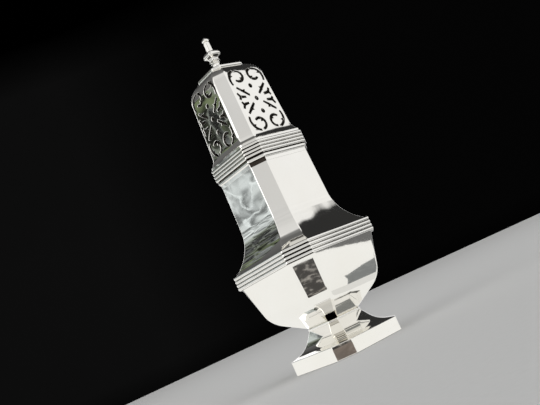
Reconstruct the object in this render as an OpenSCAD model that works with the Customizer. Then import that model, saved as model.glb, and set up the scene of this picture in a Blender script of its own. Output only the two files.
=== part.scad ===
// Sugar caster in sheet silver: a pear-shaped body of square section with canted corners on a
// spreading foot, and a pierced cover with a faceted finial that lifts off.
// Every cross-section is the same canted square. Widths are half widths across the flats, and
// heights are measured upwards from the surface that the foot stands on.

/* [Whole] */
// Height of the whole caster, which the upper body makes up
caster_h = 170; // [160:1:185]

/* [Section] */
// Cut at each corner, for each millimetre of half width across the flats
cant = 0.31; // [0.2:0.01:0.42]
// Thickness of the sheet that the body's shells are raised from
sheet = 0.8; // [0.5:0.1:1.2]

/* [Foot] */
// Half width of the foot
foot_w = 22.2; // [19:0.1:26]
// Height of the plain rim that the caster stands on
foot_rim_h = 6; // [4:0.5:9]
// Thickness of the plain rim
foot_rim_t = 1.4; // [1.2:0.1:2.5]
// Height of the spreading foot above its rim
spread_h = 10.4; // [8:0.2:14]
// Half width of the neck between foot and bowl
foot_neck_w = 11; // [9:0.1:13]
// How far the turn of the foot's hollow curve stands out from the neck
spread_turn_out = 4.6; // [3:0.1:5.5]
// Height of that turn above the rim
spread_turn_h = 2.9; // [2:0.1:4]
// Radius of the hollow curve
spread_turn_r = 10.6; // [6:0.2:12]
// Height of the wire collar on the neck
collar_h = 1; // [0.8:0.1:2]
// How far the collar stands out from the neck
collar_out = 0.25; // [0.1:0.05:0.6]
// Width of the collar wire, from its outer to its inner face
collar_t = 3; // [2:0.1:4]

/* [Bowl] */
// Height of the bowl from the collar to the belly band
bowl_h = 29.7; // [26:0.1:36]
// How far the base of the bowl lies in from the neck
bowl_base_in = 0.6; // [0.2:0.1:1.2]
// Half width of the body at the belly, behind the band
belly_w = 28; // [26:0.1:31]
// How far the side of the bowl leans in from the belly to its lower corner
bowl_lean = 4.6; // [2:0.1:7]
// Height of that corner above the base, before it is rounded
bowl_corner_h = 9.4; // [7:0.1:12]
// Radius that rounds that corner
bowl_corner_r = 13.7; // [6:0.1:16]

/* [Belly band] */
// Number of reeds
belly_reeds = 4; // [2:1:6]
// Height of one reed
belly_reed_h = 1.75; // [1:0.05:2.5]
// Thickness of the band at the crown of a reed
belly_band_t = 1.3; // [1:0.1:2]
// Depth of the grooves between the reeds
belly_groove = 0.6; // [0.3:0.05:0.8]

/* [Upper body] */
// Half width of the upper body at its rim
rim_w = 18.6; // [17:0.1:20]
// How far the waist stands out from the rim
waist_out = 0.7; // [0.2:0.1:2]
// Height above the belly band of the corner between flare and waist, before it is rounded
waist_h = 7.5; // [5:0.1:10]
// Radius of the flare
waist_r = 24.9; // [10:0.1:28]
// Height of the reed of the rim moulding
rim_reed_h = 2; // [1.2:0.1:3]
// Height of the hollow below that reed
rim_hollow_h = 1.8; // [1:0.1:3]
// How far the rim moulding stands out from the sheet
rim_out = 0.7; // [0.4:0.1:1.2]
// How far the lower edge of the rim moulding stands out from the sheet
rim_lip = 0.1; // [0.05:0.05:0.3]

/* [Cover] */
// Gap between the rim moulding and the cover, which shows as a dark line
cover_gap = 0.2; // [0.1:0.05:0.4]
// Number of reeds on the cover band
cover_reeds = 4; // [2:1:6]
// Height of one reed
cover_reed_h = 1.62; // [1.2:0.02:2]
// Depth of the grooves between the reeds
cover_groove = 0.7; // [0.3:0.05:0.9]
// How far the cover band stands out from the rim of the body
cover_band_out = 1.35; // [0.6:0.05:2]
// Thickness of the sheet that the cover's shell is raised from
cover_sheet = 0.6; // [0.5:0.1:0.9]
// How far the lip of that shell lies in from the band
cove_in = 0.5; // [0.2:0.05:0.7]
// Height of that lip
cove_lip_h = 1; // [0.5:0.1:1.5]
// How far the hollow above the lip spreads from the panels
cove_out = 1.95; // [1.2:0.05:2.6]
// Height above the lip of the corner between hollow and panel, before it is rounded
cove_rise = 2.05; // [1.4:0.05:3]
// Radius of the hollow
cove_r = 7; // [3:0.1:8]
// How far the panels lean in on their way up
panel_lean = 1.7; // [0.5:0.1:3]
// Height above the band at which the panels and the crown would meet as a sharp corner
shoulder_h = 39.8; // [36:0.2:44]
// Radius that rounds that corner
shoulder_r = 9.6; // [6:0.1:13]
// How far the flat crown lies in from that corner
crown_in = 5.9; // [4:0.1:8]
// Rise from that corner to the crown
crown_h = 2.7; // [2:0.1:5]

/* [Bezel] */
// Thickness of the bezel sleeve
bezel_t = 0.7; // [0.5:0.1:1.2]
// Depth that the bezel reaches into the neck of the body
bezel_depth = 12; // [8:0.5:16]
// Clearance between the bezel and the neck
bezel_fit = 0.2; // [0.1:0.05:0.4]

/* [Piercing] */
// Plain margin between the pattern and the edges of a panel
panel_margin = 0.6; // [0.4:0.1:2]
// Plain margin between the pattern and the ends of a panel
panel_end = 3.2; // [2.4:0.1:5]
// How far the middle of the pattern lies above the middle of a panel
pattern_rise = 1.2; // [0:0.1:2]
// Width of a saw-cut stroke at its middle
stroke = 1.4; // [0.7:0.05:1.6]
// Radius of the drilled dots
dot_r = 1.1; // [0.4:0.05:1.3]
// Distance of the outer dots from the middle
dot_step = 7; // [6:0.1:7.5]
// Height of the barbs on the strokes
barb_h = 1; // [0.4:0.05:1.2]
// Radius of the outer arc of a scroll
scroll_r = 5.6; // [5:0.05:5.8]
// Radius of the inner curl of a scroll
curl_r = 2.95; // [2.6:0.05:3.2]
// Plain width between a left and a right curl
curl_gap = 2.4; // [1.6:0.1:4]
// Drop from the top of the pattern to the middle of the outer arc
scroll_drop = 5.7; // [5.2:0.1:6.2]
// Drop from the top of the pattern to the outer end of a diagonal stroke
diagonal_drop = 9.6; // [9.2:0.1:10]
// Distance of that end from the side of the pattern
diagonal_in = 2.2; // [1.6:0.1:2.6]
// Distance of a fork's joint from the side of the pattern
fork_in = 2; // [1.5:0.1:2.3]
// Distance of a fork's joint from the middle line of the pattern
fork_up = 2.1; // [2:0.1:2.6]

/* [Finial] */
// How far the finial plate stands out from the crown
plate_out = 0.1; // [0.1:0.05:0.8]
// Height of the rounded edge of the plate
plate_edge_h = 1.9; // [1:0.1:2.6]
// How far that edge is rounded
plate_edge_in = 0.5; // [0.3:0.05:0.8]
// Rise of the plate's top from its edge to the finial
plate_rise = 0.5; // [0.3:0.1:1]
// Half width of the finial's spreading base
finial_base_w = 4.4; // [3.5:0.1:5.5]
// Height of that base before its hollow is rounded
finial_base_h = 1.2; // [0.8:0.1:2]
// Radius of the hollow of the base
finial_base_r = 2.4; // [1:0.1:3]
// Half width of the finial's neck
finial_neck_w = 1.4; // [1.3:0.05:1.7]
// Height from the plate to the lower ring
finial_neck_h = 4.2; // [3.6:0.1:5]
// How far the lower ring stands out from the neck
ring_low_out = 0.55; // [0.2:0.05:0.7]
// How far the upper ring stands out from the neck
ring_high_out = 0.85; // [0.6:0.05:1.5]
// Height of one ring
ring_h = 0.9; // [0.6:0.05:1.2]
// Gap between the rings
ring_gap = 0.35; // [0.2:0.05:0.6]
// Half width of the knop
knop_w = 3.6; // [3.1:0.05:4.5]
// Height of the cup below the knop's side
knop_cup_h = 2.2; // [1.8:0.1:3]
// Height of the foot of that cup
knop_foot_h = 1; // [0.6:0.1:1.4]
// Radius of the hollow under the cup
knop_hollow_r = 1; // [0.4:0.1:1.5]
// Height of the knop's side
knop_side_h = 2; // [1.4:0.1:3]
// Radius of the knop's lower edge
knop_edge_r = 1; // [0.3:0.1:1.2]
// Radius of the knop's shoulder
knop_shoulder_r = 1.7; // [0.6:0.1:2]
// Rise of the knop's top from its shoulder to the stem
knop_top_h = 0.8; // [0.4:0.1:1.4]
// Half width of the stem at its foot
stem_w = 1.3; // [1.1:0.05:1.6]
// How far the stem draws in on its way up
stem_lean = 0.1; // [0:0.05:0.3]
// Height of the stem
stem_h = 5; // [3:0.1:6]
// Depth of the groove below the button
groove_in = 0.25; // [0.1:0.05:0.4]
// Height of that groove
groove_h = 0.4; // [0.2:0.1:0.8]
// How far the button stands out from the groove
tip_out = 0.5; // [0.3:0.05:0.9]
// Height of the slope under the button
tip_slope_h = 0.25; // [0.1:0.05:0.5]
// Height of the button's side
tip_side_h = 1.1; // [0.8:0.1:2]
// Height of the button's top
tip_top_h = 1; // [0.5:0.1:1.6]
// How far the button's top draws in
tip_top_in = 0.9; // [0.4:0.05:1]
// Radius of the button's shoulder
tip_shoulder_r = 1.4; // [0.4:0.1:1.6]
// Radius of the peg that holds the finial in the crown
peg_r = 1.1; // [0.7:0.1:1.2]
// Clearance round the peg, which the solder fills
peg_fit = 0.1; // [0.05:0.05:0.2]

/* [Hidden] */

silver = "#dcdcd8";

// Steps in an arc that joins two straight stretches, and in the crown of a reed
arc_steps = 10;
reed_steps = 8;
// Turn of a reed's crown on each side of its middle
reed_turn = 75;
// Sides of the drilled holes and the peg
hole_sides = 48;
// How far a hollow runs past an open end
past = 1;
// Share of a straight stretch that each of two neighbouring arcs may use
arc_share = 0.49;
// Shortest step between two points of an outline
least_step = 0.001;

// Half width across the cants, for each millimetre of half width across the flats
across_cants = (2 - cant) / sqrt(2);

// Heights of the cover above its gap and of the finial above its plate
cover_band_h = cover_reeds * cover_reed_h;
finial_h = finial_neck_h + 2 * ring_h + ring_gap + knop_cup_h + knop_side_h + knop_top_h
    + stem_h + groove_h + tip_slope_h + tip_side_h + tip_top_h;
cover_h = cover_band_h + shoulder_h + crown_h + plate_edge_h + plate_rise + finial_h;

// Heights, from the foot up
collar_z = foot_rim_h + spread_h;
bowl_z = collar_z + collar_h;
belly_z = bowl_z + bowl_h;
belly_band_h = belly_reeds * belly_reed_h;
seam_z = belly_z + belly_band_h / 2;
upper_z = belly_z + belly_band_h;
cover_z = caster_h - cover_h;
body_top = cover_z - cover_gap;
rim_reed_z = body_top - rim_reed_h;
rim_z = rim_reed_z - rim_hollow_h;
shell_z = cover_z + cover_band_h;
crown_z = shell_z + shoulder_h + crown_h;
plate_top_z = crown_z + plate_edge_h;
finial_z = plate_top_z + plate_rise;
ring_low_z = finial_z + finial_neck_h;
ring_high_z = ring_low_z + ring_h + ring_gap;
knop_z = ring_high_z + ring_h;
knop_side_z = knop_z + knop_cup_h;
knop_shoulder_z = knop_side_z + knop_side_h;
stem_z = knop_shoulder_z + knop_top_h;
groove_z = stem_z + stem_h;
tip_z = groove_z + groove_h;
tip_side_z = tip_z + tip_slope_h;
tip_shoulder_z = tip_side_z + tip_side_h;

// Half widths that follow from what a piece seats on or fits in
spread_turn_w = foot_neck_w + spread_turn_out;
bowl_base_w = foot_neck_w - bowl_base_in;
belly_band_w = belly_w + belly_band_t;
waist_w = rim_w + waist_out;
bezel_w = rim_w - sheet - bezel_fit;
cover_band_w = rim_w + cover_band_out;
cove_w = cover_band_w - cove_in;
panel_w = cove_w - cove_out;
shoulder_w = panel_w - panel_lean;
crown_w = shoulder_w - crown_in;
plate_w = crown_w + plate_out;
ring_low_w = finial_neck_w + ring_low_out;
groove_w = stem_w - stem_lean - groove_in;
tip_w = groove_w + tip_out;
reach = 2 * max(belly_band_w, foot_w);

// The pattern's middle above the cover band, and its half width and half height
pattern_h = shoulder_h / 2 + pattern_rise;
panel_middle_w = panel_w - panel_lean * pattern_h / shoulder_h;
pattern_w = panel_middle_w * (1 - cant) - panel_margin;
pattern_half_h = shoulder_h / 2 - panel_end;

// Each outline's corners are [width, height, radius], with the radius left out where they are sharp
spread_corners = [
    [foot_w, foot_rim_h],
    [foot_w, foot_rim_h + sheet],
    [spread_turn_w, foot_rim_h + spread_turn_h, spread_turn_r],
    [foot_neck_w, collar_z]
];
bowl_corners = [
    [bowl_base_w, bowl_z],
    [belly_w - bowl_lean, bowl_z + bowl_corner_h, bowl_corner_r],
    [belly_w, belly_z],
    [belly_w, seam_z]
];
upper_corners = [
    [belly_w, seam_z],
    [belly_w, upper_z],
    [waist_w, upper_z + waist_h, waist_r],
    [rim_w, rim_z],
    [rim_w, body_top]
];
shell_corners = [
    [cove_w, shell_z],
    [cove_w, shell_z + cove_lip_h],
    [panel_w, shell_z + cove_lip_h + cove_rise, cove_r],
    [shoulder_w, shell_z + shoulder_h, shoulder_r],
    [crown_w, crown_z]
];

function unit(v) = v / norm(v);
function inward(a, b) = let (d = unit(b - a)) [-d.y, d.x];
function flat(corner) = [corner[0], corner[1]];
function radius(corner) = len(corner) > 2 ? corner[2] : 0;

// The arc that rounds the corner p between a and b, limited by the stretches that it shortens
function rounded_corner(a, p, b, r, share_a, share_b) =
    let (
        u = unit(a - p),
        v = unit(b - p),
        half = acos(u * v) / 2,
        room = min(norm(a - p) * share_a, norm(b - p) * share_b),
        r_fit = min(r, room * tan(half)),
        centre = p + unit(u + v) * r_fit / sin(half),
        start = p + u * r_fit / tan(half) - centre,
        turn = sign(cross(u, v)) * (180 - 2 * half),
        first = atan2(start.y, start.x)
    )
    [for (i = [0 : arc_steps]) let (t = first - turn * i / arc_steps) centre + r_fit * [cos(t), sin(t)]];

// The points of an outline, with its rounded corners as arcs
function outline(corners) =
    let (last = len(corners) - 1)
    [
        for (i = [0 : last])
            each (i == 0 || i == last || radius(corners[i]) == 0)
                ? [flat(corners[i])]
                : rounded_corner(
                    flat(corners[i - 1]), flat(corners[i]), flat(corners[i + 1]), radius(corners[i]),
                    i == 1 || radius(corners[i - 1]) == 0 ? 1 : arc_share,
                    i == last - 1 || radius(corners[i + 1]) == 0 ? 1 : arc_share)
    ];

// One corner of the wall's inner face, one thickness in from the outer face
function inner_corner(corners, i, t) =
    let (
        p = flat(corners[i]),
        n1 = inward(flat(corners[i - 1]), p),
        n2 = inward(p, flat(corners[i + 1])),
        moved = p + t * (n1 + n2) / (1 + n1 * n2),
        r = radius(corners[i])
    )
    [moved.x, moved.y, r == 0 ? 0 : max(r - sign(cross(n1, n2)) * t, t)];

// The point at height z on the wall's inner face along the stretch from a to b
function inner_at(a, b, t, z) =
    let (d = unit(b - a))
    [a.x - t / d.y + (z - a.y) * d.x / d.y, z];

// The inner face of a wall, from height bottom to height top
function inner_face(corners, t, bottom, top) =
    let (last = len(corners) - 1)
    concat(
        [inner_at(flat(corners[0]), flat(corners[1]), t, bottom)],
        [for (i = [1 : last - 1]) inner_corner(corners, i, t)],
        [inner_at(flat(corners[last - 1]), flat(corners[last]), t, top)]);

// An open end of a hollow, run past the wall
function past_bottom(points) = concat([points[0] - [0, past]], points);
function past_top(points) = concat(points, [points[len(points) - 1] + [0, past]]);

// Crowned reeds, one above the other, on a face of half width w
function reeds(w, z, count, h, depth) =
    [
        for (i = [0 : count - 1], j = [i == 0 ? 0 : 1 : reed_steps])
            let (
                t = reed_turn * (2 * j / reed_steps - 1),
                rise = (cos(t) - cos(reed_turn)) / (1 - cos(reed_turn))
            )
            [w - depth * (1 - rise), z + h * (i + 0.5 + 0.5 * sin(t) / sin(reed_turn))]
    ];

// Stretches of an outline one after the other, with repeated points left out
function joined(stretches) =
    let (all = [for (stretch = stretches) each stretch])
    [for (i = [0 : len(all) - 1]) if (i == 0 || norm(all[i] - all[i - 1]) > least_step) all[i]];

function both_sides(points) =
    concat(points, [for (i = [len(points) - 1 : -1 : 0]) [-points[i].x, points[i].y]]);
function widened(points) = [for (p = points) [p.x * across_cants, p.y]];

// The solid whose canted-square sections follow an outline from its foot to its top
module canted(points) {
    intersection_for (turn = [0, 45, 90, 135])
        rotate([0, 0, turn])
            rotate([90, 0, 0])
                linear_extrude(height = 2 * reach, center = true)
                    polygon(both_sides(turn % 90 == 0 ? points : widened(points)));
}

// An upright canted-square opening of half width w
module canted_hole(w, bottom, top) {
    canted([[w, bottom - past], [w, top + past]]);
}

// A round hole for the finial's peg
module peg_hole(bottom, top) {
    translate([0, 0, bottom - past])
        cylinder(r = peg_r + peg_fit, h = top - bottom + 2 * past, $fn = hole_sides);
}

module foot_rim() {
    color(silver)
        difference() {
            canted([[foot_w, 0], [foot_w, foot_rim_h]]);
            canted_hole(foot_w - foot_rim_t, 0, foot_rim_h);
        }
}

module spreading_foot() {
    inner = outline(inner_face(spread_corners, sheet, foot_rim_h, collar_z));
    color(silver)
        difference() {
            canted(outline(spread_corners));
            canted(past_bottom(past_top(inner)));
        }
}

module foot_collar() {
    w = foot_neck_w + collar_out;
    wire = [[foot_neck_w, collar_z], [w, collar_z + collar_h / 2, collar_h], [foot_neck_w, bowl_z]];
    color(silver)
        difference() {
            canted(outline(wire));
            canted_hole(w - collar_t, collar_z, bowl_z);
        }
}

module bowl() {
    inner = outline(inner_face(bowl_corners, sheet, bowl_z + sheet, seam_z));
    color(silver)
        difference() {
            canted(outline(bowl_corners));
            canted(past_top(inner));
        }
}

module belly_band() {
    color(silver)
        difference() {
            canted(reeds(belly_band_w, belly_z, belly_reeds, belly_reed_h, belly_groove));
            canted_hole(belly_w, belly_z, upper_z);
        }
}

module upper_body() {
    inner = outline(inner_face(upper_corners, sheet, seam_z, body_top));
    color(silver)
        difference() {
            canted(outline(upper_corners));
            canted(past_bottom(past_top(inner)));
        }
}

module rim_moulding() {
    reed_foot_w = rim_w + rim_out / 2;
    hollow = [[rim_w + rim_lip, rim_z], [rim_w + rim_lip, rim_reed_z, rim_out], [reed_foot_w, rim_reed_z]];
    reed = reeds(rim_w + rim_out, rim_reed_z, 1, rim_reed_h, rim_out / 2);
    color(silver)
        difference() {
            canted(joined([outline(hollow), reed]));
            canted_hole(rim_w, rim_z, body_top);
        }
}

module cover_bezel() {
    bottom = body_top - bezel_depth;
    color(silver)
        difference() {
            canted([[bezel_w, bottom], [bezel_w, shell_z]]);
            canted_hole(bezel_w - bezel_t, bottom, shell_z);
        }
}

module cover_band() {
    color(silver)
        difference() {
            canted(reeds(cover_band_w, cover_z, cover_reeds, cover_reed_h, cover_groove));
            canted_hole(bezel_w, cover_z, shell_z);
        }
}

// The saw-cut pattern of a panel: scrolls, diagonal strokes, forks and dots, alike in four quarters.
// Places in a quarter are [across, up] from the middle of the pattern.
scroll_at = [pattern_w - scroll_r - stroke / 2, pattern_half_h - scroll_drop];
scroll_ends = [-24, 74];
scroll_barb = 28;
curl_at = [curl_gap / 2 + curl_r + stroke / 2, pattern_half_h - curl_r - stroke / 2];
curl_ends = [94, 314];
curl_barb = 222;
diagonal_outer = [pattern_w - diagonal_in, pattern_half_h - diagonal_drop];
diagonal_inner = [3, 2.2];
fork_joint = [pattern_w - fork_in, fork_up];
// Legs of a fork, as steps from its joint to its tips
fork_legs = [[-3.2, -0.45], [0.9, -1.45], [1.1, 2.1]];
// Widths along a stroke, for each millimetre of its width at the middle
stroke_end = 0.75;
fork_root = 1.1;
fork_tip = 0.76;
// How far a barb's foot reaches back and forward, and its point forward, for each millimetre of height
barb_back = 1.3;
barb_front = 0.9;
barb_point = 0.4;

// A stroke along an arc, narrower at its ends
function stroke_half(s) = (stroke_end + (1 - stroke_end) * sin(180 * s)) * stroke / 2;
function arc_side(centre, r, ends, side) =
    [
        for (i = [0 : arc_steps])
            let (s = i / arc_steps, t = ends[0] + (ends[1] - ends[0]) * s)
            centre + (r + side * stroke_half(s)) * [cos(t), sin(t)]
    ];
function reversed(points) = [for (i = [len(points) - 1 : -1 : 0]) points[i]];

// A straight stroke from a to b, with its widths at both ends
module bar(a, b, width_a, width_b) {
    side = inward(a, b) / 2;
    polygon([a + side * width_a, a - side * width_a, b - side * width_b, b + side * width_b]);
}

// A barb at the point p of a stroke that runs along one direction, pointing to one side of it
module barb(p, along, side) {
    polygon([
        p - along * barb_h * barb_back,
        p + along * barb_h * barb_front,
        p + side * (barb_h + stroke / 2) + along * barb_h * barb_point
    ]);
}

module arc_cut(centre, r, ends, barb_turn) {
    out = [cos(barb_turn), sin(barb_turn)];
    polygon(concat(arc_side(centre, r, ends, 1), reversed(arc_side(centre, r, ends, -1))));
    barb(centre + r * out, [-out.y, out.x], -out);
}

module diagonal_cut(a, b) {
    middle = (a + b) / 2;
    for (end = [a, b])
        bar(middle, end, stroke, stroke * stroke_end);
    barb(middle, unit(b - a), -inward(a, b));
}

module fork_cut(joint, legs) {
    for (leg = legs)
        bar(joint - unit(leg) * stroke / 3, joint + leg, stroke * fork_root, stroke * fork_tip);
}

module pattern_quarter() {
    arc_cut(scroll_at, scroll_r, scroll_ends, scroll_barb);
    arc_cut(curl_at, curl_r, curl_ends, curl_barb);
    diagonal_cut(diagonal_outer, diagonal_inner);
    fork_cut(fork_joint, fork_legs);
}

module panel_pattern() {
    for (x = [0, 1], y = [0, 1])
        mirror([x, 0])
            mirror([0, y])
                pattern_quarter();
    for (step = [-1 : 1])
        translate([0, step * dot_step])
            circle(r = dot_r, $fn = hole_sides);
}

module pierced_cover() {
    inner = outline(inner_face(shell_corners, cover_sheet, shell_z, crown_z - cover_sheet));
    color(silver)
        difference() {
            canted(outline(shell_corners));
            canted(past_bottom(inner));
            for (turn = [0, 90])
                rotate([0, 0, turn])
                    translate([0, 0, shell_z + pattern_h])
                        rotate([90, 0, 0])
                            linear_extrude(height = 2 * reach, center = true)
                                panel_pattern();
            peg_hole(crown_z - cover_sheet, crown_z);
        }
}

module finial_plate() {
    edge = reeds(plate_w, crown_z, 1, plate_edge_h, plate_edge_in);
    color(silver)
        difference() {
            canted(concat(edge, [[finial_base_w, finial_z]]));
            peg_hole(crown_z, finial_z);
        }
}

module finial() {
    base = [
        [finial_base_w, finial_z],
        [finial_neck_w, finial_z + finial_base_h, finial_base_r],
        [finial_neck_w, ring_low_z]
    ];
    low_ring = reeds(ring_low_w, ring_low_z, 1, ring_h, ring_low_out);
    high_ring = reeds(finial_neck_w + ring_high_out, ring_high_z, 1, ring_h, ring_high_out);
    knop = [
        [ring_low_w, knop_z],
        [ring_low_w, knop_z + knop_foot_h, knop_hollow_r],
        [knop_w, knop_side_z, knop_edge_r],
        [knop_w, knop_shoulder_z, knop_shoulder_r],
        [stem_w, stem_z]
    ];
    tip = [
        [stem_w - stem_lean, groove_z],
        [groove_w, groove_z],
        [groove_w, tip_z],
        [tip_w, tip_side_z],
        [tip_w, tip_shoulder_z, tip_shoulder_r],
        [tip_w - tip_top_in, tip_shoulder_z + tip_top_h]
    ];
    peg_z = crown_z - cover_sheet;
    color(silver) {
        canted(joined([outline(base), low_ring, high_ring, outline(knop), outline(tip)]));
        translate([0, 0, peg_z])
            cylinder(r = peg_r, h = finial_z + finial_base_h - peg_z, $fn = hole_sides);
    }
}

foot_rim();
spreading_foot();
foot_collar();
bowl();
belly_band();
upper_body();
rim_moulding();
cover_bezel();
cover_band();
pierced_cover();
finial_plate();
finial();
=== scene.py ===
"""A silver sugar caster of canted-square section, with reeded bands and a pierced cover."""
import math

import bmesh
import bpy
from mathutils import Matrix, Vector


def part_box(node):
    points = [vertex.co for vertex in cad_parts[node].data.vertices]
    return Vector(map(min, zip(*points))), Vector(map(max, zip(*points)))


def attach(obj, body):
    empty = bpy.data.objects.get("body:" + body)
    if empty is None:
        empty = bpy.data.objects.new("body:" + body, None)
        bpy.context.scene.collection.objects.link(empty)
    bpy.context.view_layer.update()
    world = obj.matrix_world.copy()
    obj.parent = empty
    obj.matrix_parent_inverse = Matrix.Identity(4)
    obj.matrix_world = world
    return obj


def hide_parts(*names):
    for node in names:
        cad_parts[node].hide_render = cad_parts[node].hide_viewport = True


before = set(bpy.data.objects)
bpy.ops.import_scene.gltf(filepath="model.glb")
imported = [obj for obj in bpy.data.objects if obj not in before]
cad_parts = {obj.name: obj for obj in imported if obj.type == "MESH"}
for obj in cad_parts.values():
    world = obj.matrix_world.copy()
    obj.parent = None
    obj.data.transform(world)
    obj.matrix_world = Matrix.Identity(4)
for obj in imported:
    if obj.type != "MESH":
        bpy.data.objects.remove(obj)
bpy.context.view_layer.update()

MM = 0.001

# Section: the cut at each corner for each millimetre of half width, and the easing of its eight edges
CANT = 0.31
EASE = 0.45
EASE_STEPS = 4
# Largest turn of one step along a curve, and the turn from which an edge stays crisp
CURVE_STEP = math.radians(2.5)
CRISP = math.radians(32)
# Shortest step along a path in millimetres, and the distance in metres within which points are welded
SHORTEST = 1e-6
WELD = 1e-7
# How strongly large faces keep their shading flat
PANEL_WEIGHT = 100

# Thickness of the sheet that the body and the cover are raised from
SHEET = 0.8
COVER_SHEET = 0.6

# Places of a piece's finishes: polished outside, and dark inside, in saw cuts and in grooves, where the
# dark is tarnish and oxide, partly painted shade
OUTSIDE = 0
INSIDE = 1


def half_width(node):
    """Half width of a CAD node across its flats, in millimetres."""
    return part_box(node)[1].x / MM


def bottom(node):
    """Height of a CAD node's underside, in millimetres."""
    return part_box(node)[0].z / MM


def top(node):
    """Height of a CAD node's top, in millimetres."""
    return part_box(node)[1].z / MM


def eased(corners):
    """A path of half widths and heights through (width, height, radius) corners, with round arcs."""
    path = []
    last = len(corners) - 1
    for i, (width, height, radius) in enumerate(corners):
        corner = Vector((width, height))
        if radius == 0 or i in (0, last):
            path.append(corner)
            continue
        before = (Vector(corners[i - 1][:2]) - corner).normalized()
        after = (Vector(corners[i + 1][:2]) - corner).normalized()
        half = before.angle(after) / 2
        centre = corner + (before + after).normalized() * radius / math.sin(half)
        start = corner + before * radius / math.tan(half) - centre
        turn = -math.copysign(math.pi - 2 * half, before.cross(after))
        steps = max(EASE_STEPS, math.ceil(abs(turn) / CURVE_STEP))
        for step in range(steps + 1):
            path.append(centre + Matrix.Rotation(turn * step / steps, 2) @ start)
    return path


# Crowned reeds: the turn of a crown on each side of its middle, and its steps
REED_TURN = math.radians(75)
REED_STEPS = 20
# How much flatter polishing has rubbed the crowns of the bands' reeds: 1 is round
REED_RUBBED = 1.5
# Share of a groove's depth that stays bright, on the broad faces and on the narrow cants. Below it the
# broad faces' grooves are dark with oxide; the cants are darkened further up, oxide and painted shade
# together
GROOVE_CLEAN = 0.6
CANT_KEPT_BRIGHT = 0.12


def reeded(width, height, count, pitch, depth, rubbed=1):
    """A path up a row of crowned reeds, whose crowns have a half width and whose grooves a depth."""
    path = []
    foot = math.cos(REED_TURN)
    for reed in range(count):
        for step in range(REED_STEPS + 1):
            turn = REED_TURN * (2 * step / REED_STEPS - 1)
            fall = ((1 - math.cos(turn)) / (1 - foot)) ** rubbed
            up = 0.5 + 0.5 * math.sin(turn) / math.sin(REED_TURN)
            path.append(Vector((width - depth * fall, height + pitch * (reed + up))))
    return path


def tarnish_and_shade(bm, width, broad_clean, cant_kept_bright):
    """Darkens what lies deeper than the share kept bright, on the broad faces and on the cants: oxide in
    the grooves, and on the cants, where more is darkened, painted shade as well.
    """
    for face in bm.faces:
        middle = face.calc_center_median() / MM
        x, y = abs(middle.x), abs(middle.y)
        on_broad, on_cant = max(x, y), (x + y) / (2 - CANT)
        kept_bright = broad_clean if on_broad > on_cant else cant_kept_bright
        if max(on_broad, on_cant) < width - kept_bright:
            face.material_index = INSIDE


def canted_ring(bm, width, height, ease):
    """The section as a ring of edges: a square with its corners cut and every edge of the cut eased."""
    square = bmesh.ops.create_grid(bm, x_segments=1, y_segments=1, size=width * MM)["verts"]
    cut = bmesh.ops.bevel(
        bm, geom=square, offset=CANT * width * MM, segments=1, profile=0.5, affect="VERTICES",
        material=-1)
    face = cut["verts"][0].link_faces[0]
    bmesh.ops.bevel(
        bm, geom=face.verts[:], offset=ease * MM, segments=EASE_STEPS, profile=0.5, affect="VERTICES",
        material=-1)
    face = bm.faces[:][-1]
    bmesh.ops.translate(bm, verts=face.verts[:], vec=(0, 0, height * MM))
    ring = face.edges[:]
    bmesh.ops.delete(bm, geom=[face], context="FACES_ONLY")
    return ring


def draw(bm, path, ease=EASE, ring=None, finish=OUTSIDE):
    """Carries the section along a path, on from a ring if given, and returns its first and last rings."""
    start = ring = ring or canted_ring(bm, path[0].x, path[0].y, ease)
    for a, b in zip(path, path[1:]):
        step = b - a
        if step.length < SHORTEST:
            continue
        made = bmesh.ops.extrude_edge_only(bm, edges=ring)["geom"]
        verts = [v for v in made if isinstance(v, bmesh.types.BMVert)]
        ring = [e for e in made if isinstance(e, bmesh.types.BMEdge) and e.is_boundary]
        bmesh.ops.scale(bm, verts=verts, vec=(b.x / a.x, b.x / a.x, 1))
        bmesh.ops.translate(bm, verts=verts, vec=(0, 0, step.y * MM))
        for face in (f for f in made if isinstance(f, bmesh.types.BMFace)):
            face.material_index = finish
    return start, ring


def draw_shell(bm, outer, inner):
    """Draws a shell's outside and then its inside, and returns the first and last rings."""
    start, lip = draw(bm, outer)
    return start, draw(bm, outer[-1:] + inner, ring=lip, finish=INSIDE)[1]


def cap(bm, ring, finish=OUTSIDE):
    """Closes a ring with a flat face."""
    bmesh.ops.contextual_create(bm, geom=ring, mat_nr=finish)


def round_hole(bm, lower, upper, radius, low, high):
    """Joins two rings through a round hole between two heights."""
    circles = []
    for height in (low, high):
        verts = bmesh.ops.create_circle(bm, segments=len(lower), radius=radius * MM)["verts"]
        bmesh.ops.translate(bm, verts=verts, vec=(0, 0, height * MM))
        circles.append(list(dict.fromkeys(e for v in verts for e in v.link_edges)))
    bmesh.ops.bridge_loops(bm, edges=lower + circles[0])
    bmesh.ops.bridge_loops(bm, edges=circles[0] + circles[1])
    bmesh.ops.bridge_loops(bm, edges=upper + circles[1])


def close(bm):
    """Welds a mesh shut and turns its faces outward."""
    bmesh.ops.remove_doubles(bm, verts=bm.verts, dist=WELD)
    bmesh.ops.recalc_face_normals(bm, faces=bm.faces)


def as_object(bm, name, *materials):
    """Turns a mesh into an object of the scene, with its materials."""
    mesh = bpy.data.meshes.new(name)
    bm.to_mesh(mesh)
    bm.free()
    for material in materials:
        mesh.materials.append(material)
    made = bpy.data.objects.new(name, mesh)
    bpy.context.scene.collection.objects.link(made)
    return made


def place(bm, name, body, slot, *materials):
    """Closes a piece, gives it crisp and smooth edges and its finish, and sets it on its body."""
    close(bm)
    for edge in bm.edges:
        edge.smooth = edge.calc_face_angle(0) < CRISP
    for face in bm.faces:
        face.smooth = True
    piece = as_object(bm, "silver_" + name, *materials)
    flat = piece.modifiers.new("flat panels", "WEIGHTED_NORMAL")
    flat.keep_sharp = True
    flat.weight = PANEL_WEIGHT
    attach(piece, body)
    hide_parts(name)


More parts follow.
